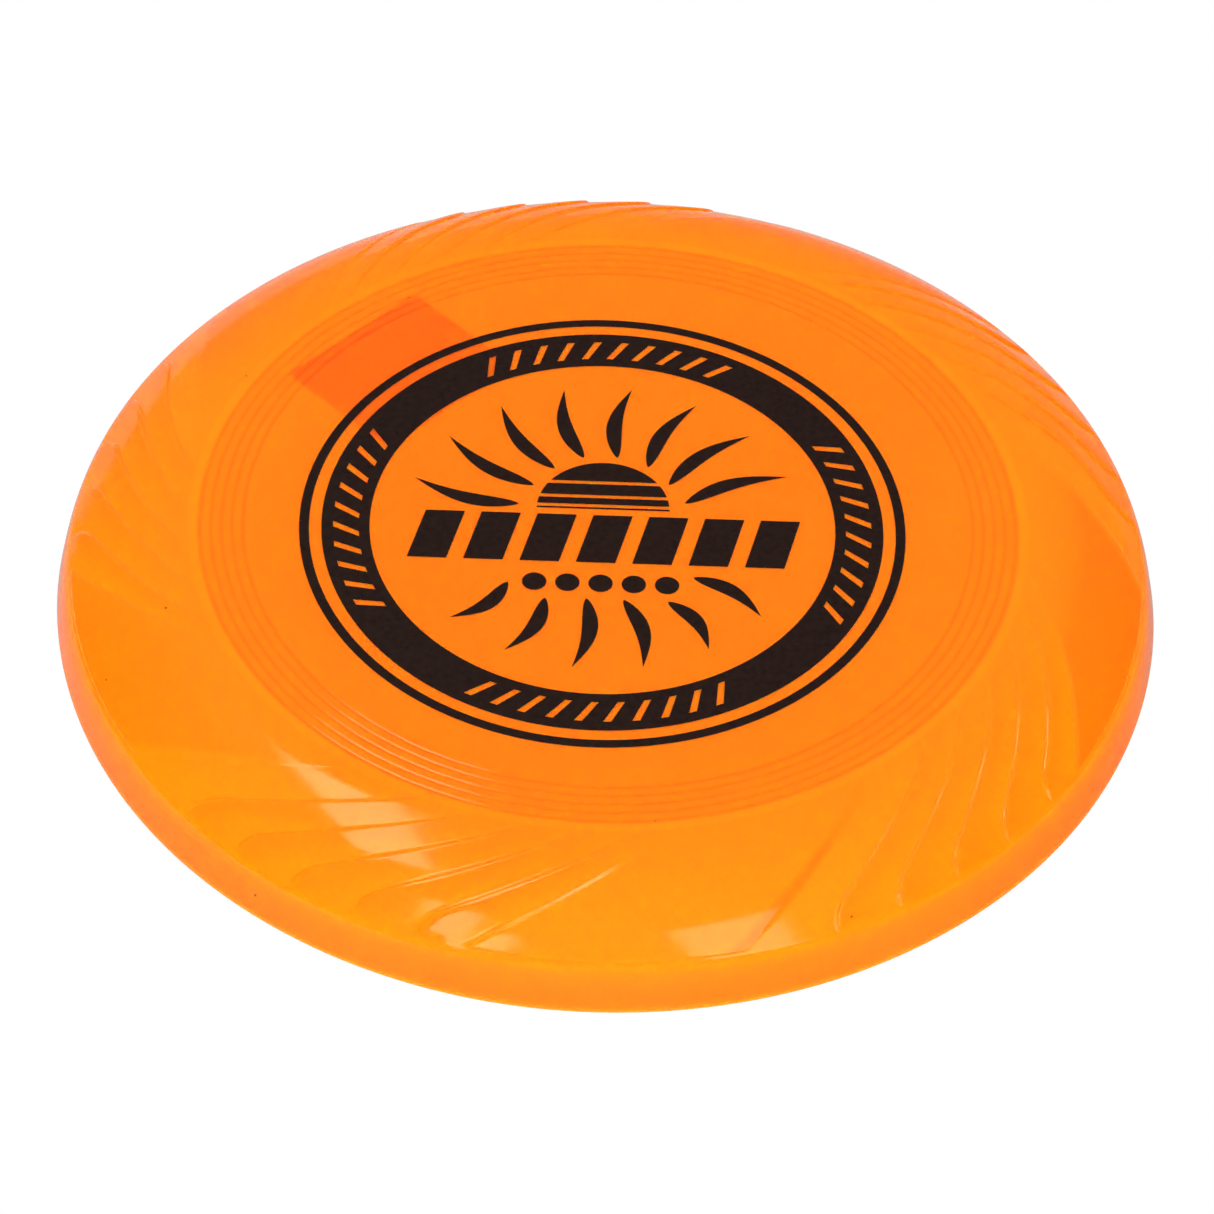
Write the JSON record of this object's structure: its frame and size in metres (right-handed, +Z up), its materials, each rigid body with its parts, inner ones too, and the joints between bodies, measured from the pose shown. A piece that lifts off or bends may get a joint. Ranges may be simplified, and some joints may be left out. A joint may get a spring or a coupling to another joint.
{
  "type": "flying disc",
  "caption": "Thin-walled toy flying disc with a flat plate, swirl-stepped shoulder, rolled-in rim, a printed emblem on top and a paper label underneath.",
  "frame": {"origin": "centre of the circle that the rim's lip rests on", "axes": "+Z up through the plate, along the axis that the disc spins about; +X to the right of the printed emblem and +Y to its top"},
  "size_m": [0.25, 0.25, 0.0245],
  "materials": {
    "orange_plastic": "glossy, slightly translucent injection moulding in bright orange",
    "black_ink": "satin black screen print",
    "paper": "matt paper label"
  },
  "bodies": {
    "root": {"disc": "orange_plastic", "label": "paper", "print_band": "black_ink", "print_bar_01": "black_ink", "print_bar_02": "black_ink", "print_bar_03": "black_ink", "print_bar_04": "black_ink", "print_bar_05": "black_ink", "print_bar_06": "black_ink", "print_bar_07": "black_ink", "print_dot_01": "black_ink", "print_dot_02": "black_ink", "print_dot_03": "black_ink", "print_dot_04": "black_ink", "print_dot_05": "black_ink", "print_ray_01": "black_ink", "print_ray_02": "black_ink", "print_ray_03": "black_ink", "print_ray_04": "black_ink", "print_ray_05": "black_ink", "print_ray_06": "black_ink", "print_ray_07": "black_ink", "print_ray_08": "black_ink", "print_ray_09": "black_ink", "print_ray_10": "black_ink", "print_ray_11": "black_ink", "print_ray_12": "black_ink", "print_ray_13": "black_ink", "print_ray_14": "black_ink", "print_ring": "black_ink", "print_sun_01": "black_ink", "print_sun_02": "black_ink", "print_sun_03": "black_ink", "print_sun_04": "black_ink"}
  },
  "joints": []
}
